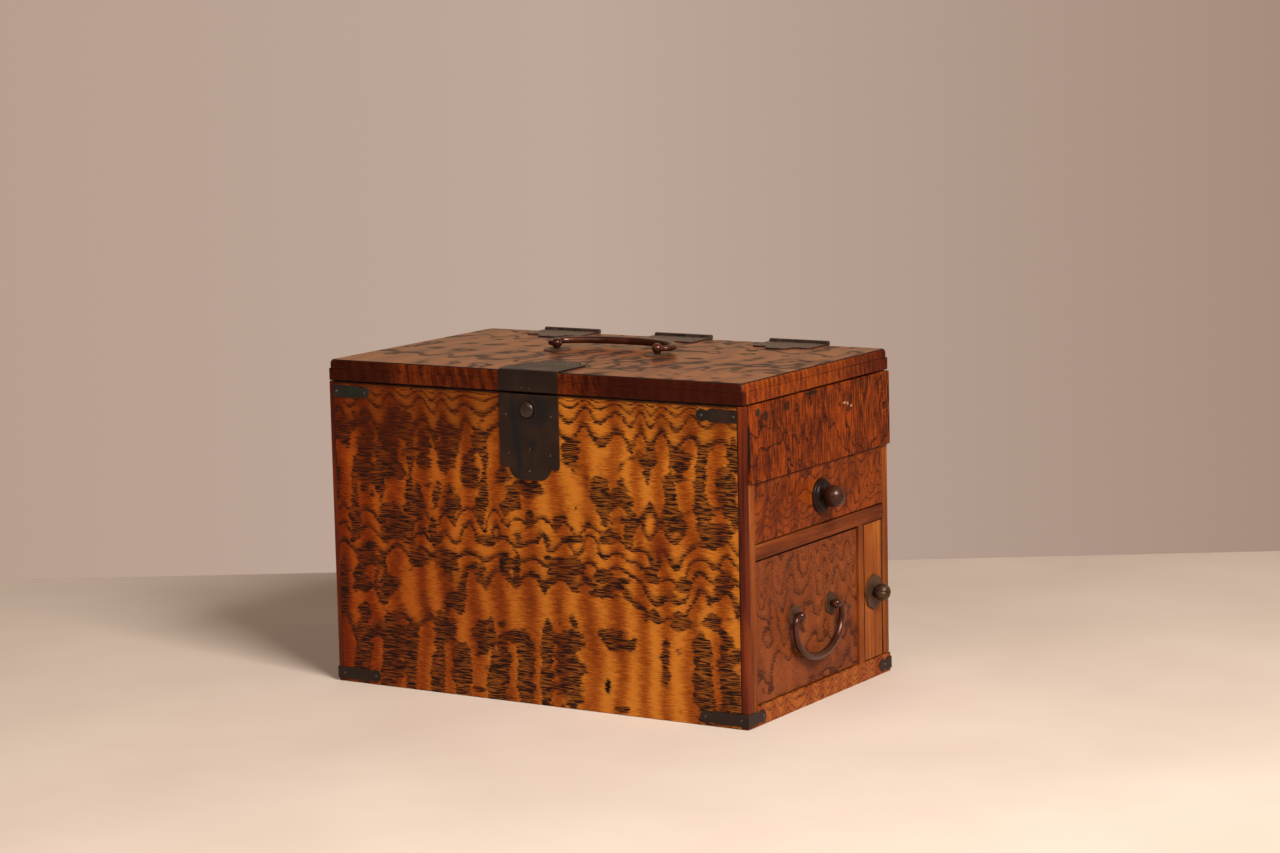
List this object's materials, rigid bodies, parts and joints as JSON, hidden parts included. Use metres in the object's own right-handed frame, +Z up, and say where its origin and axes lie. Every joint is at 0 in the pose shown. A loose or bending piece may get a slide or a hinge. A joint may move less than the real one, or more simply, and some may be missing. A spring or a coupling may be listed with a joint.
{
  "type": "lidded chest with side drawers",
  "caption": "Small box-shaped wooden chest: hinged lid with swing handle and push-button lock over an open compartment, drawers with knobs and a bail in the right end, iron plates.",
  "frame": {"origin": "centre of the chest footprint on the surface it stands on", "axes": "+X to the right along the front towards the end with the drawers, +Y from the front to the back, +Z up"},
  "size_m": [0.337, 0.1998, 0.2278],
  "materials": {
    "front_wood": "semi-gloss varnish over strong wavy figure",
    "side_wood": "semi-gloss red-brown varnish over fine figure",
    "dark_wood": "semi-gloss dark red-brown varnish",
    "lid_wood": "polished varnish, dark figure",
    "stile_wood": "varnished, worn lighter",
    "inner_wood": "bare planed softwood",
    "black_iron": "aged dark oxide",
    "polished_iron": "handled, dark, half polished"
  },
  "bodies": {
    "carcase": {"front_panel": "front_wood", "back_board": "side_wood", "upper_side_board": "side_wood", "left_end_board": "side_wood", "bottom_rail": "side_wood", "drawer_shelf": "side_wood", "front_corner_strip_left": "dark_wood", "front_corner_strip_right": "dark_wood", "front_base_board": "stile_wood", "drawer_divider": "stile_wood", "bottom_board": "inner_wood", "compartment_floor": "inner_wood", "lock_plate": "black_iron", "hinge_body_leaf_left": "black_iron", "hinge_body_leaf_middle": "black_iron", "hinge_body_leaf_right": "black_iron", "corner_plate_top_left": "black_iron", "corner_plate_top_right": "black_iron", "corner_plate_front_left": "black_iron", "corner_plate_front_right": "black_iron", "corner_plate_back_right": "black_iron"},
    "lid": {"lid_top_board": "lid_wood", "lid_core_board": "side_wood", "lid_front_edge": "dark_wood", "lid_strap": "black_iron", "lock_staple": "black_iron", "hinge_lid_leaf_left": "black_iron", "hinge_lid_leaf_middle": "black_iron", "hinge_lid_leaf_right": "black_iron", "top_handle_post_left": "polished_iron", "top_handle_post_right": "polished_iron", "top_handle_rosette_left": "black_iron", "top_handle_rosette_right": "black_iron"},
    "upper_drawer": {"upper_drawer_front": "side_wood", "upper_drawer_near_side": "inner_wood", "upper_drawer_far_side": "inner_wood", "upper_drawer_back": "inner_wood", "upper_drawer_bottom": "inner_wood", "upper_knob": "polished_iron", "upper_knob_rosette": "polished_iron"},
    "large_drawer": {"large_drawer_front": "side_wood", "large_drawer_near_side": "inner_wood", "large_drawer_far_side": "inner_wood", "large_drawer_back": "inner_wood", "large_drawer_bottom": "inner_wood", "drawer_bail_post_near": "polished_iron", "drawer_bail_post_far": "polished_iron", "drawer_bail_rosette_near": "black_iron", "drawer_bail_rosette_far": "black_iron"},
    "narrow_drawer": {"narrow_drawer_front": "side_wood", "narrow_drawer_near_side": "inner_wood", "narrow_drawer_far_side": "inner_wood", "narrow_drawer_back": "inner_wood", "narrow_drawer_bottom": "inner_wood", "narrow_knob": "polished_iron", "narrow_knob_plate": "black_iron"},
    "top_bail": {"top_handle_bail": "polished_iron"},
    "front_bail": {"drawer_bail": "polished_iron"},
    "button": {"lock_button": "polished_iron"},
    "latch": {"lock_latch": "black_iron"}
  },
  "joints": [
    {"name": "lid_hinge", "type": "hinge", "parent": "carcase", "child": "lid", "pos_m": [0, 0.0981, 0.2204], "axis": [-1, 0, 0], "range_deg": [0, 110]},
    {"name": "upper_drawer_slide", "type": "slide", "parent": "carcase", "child": "upper_drawer", "axis": [1, 0, 0], "range_m": [0, 0.2]},
    {"name": "large_drawer_slide", "type": "slide", "parent": "carcase", "child": "large_drawer", "axis": [1, 0, 0], "range_m": [0, 0.2]},
    {"name": "narrow_drawer_slide", "type": "slide", "parent": "carcase", "child": "narrow_drawer", "axis": [1, 0, 0], "range_m": [0, 0.2]},
    {"name": "top_handle_swing", "type": "hinge", "parent": "lid", "child": "top_bail", "pos_m": [-0.0038, 0.005, 0.2242], "axis": [1, 0, 0], "range_deg": [0, 178]},
    {"name": "drawer_bail_swing", "type": "hinge", "parent": "large_drawer", "child": "front_bail", "pos_m": [0.1634, -0.0092, 0.0615], "axis": [0, -1, 0], "range_deg": [0, 110]},
    {"name": "button_press", "type": "slide", "parent": "carcase", "child": "button", "axis": [0, 1, 0], "range_m": [0, 0.0015], "stiffness_N_per_m": 300, "springref_m": -0.001},
    {"name": "latch_swing", "type": "hinge", "parent": "carcase", "child": "latch", "pos_m": [0.0004, -0.0882, 0.1705], "axis": [-1, 0, 0], "range_deg": [0, 3.7]}
  ],
  "couplings": [
    {"joint": "latch_swing", "follows": "button_press", "rad_per_m": 41.667}
  ]
}
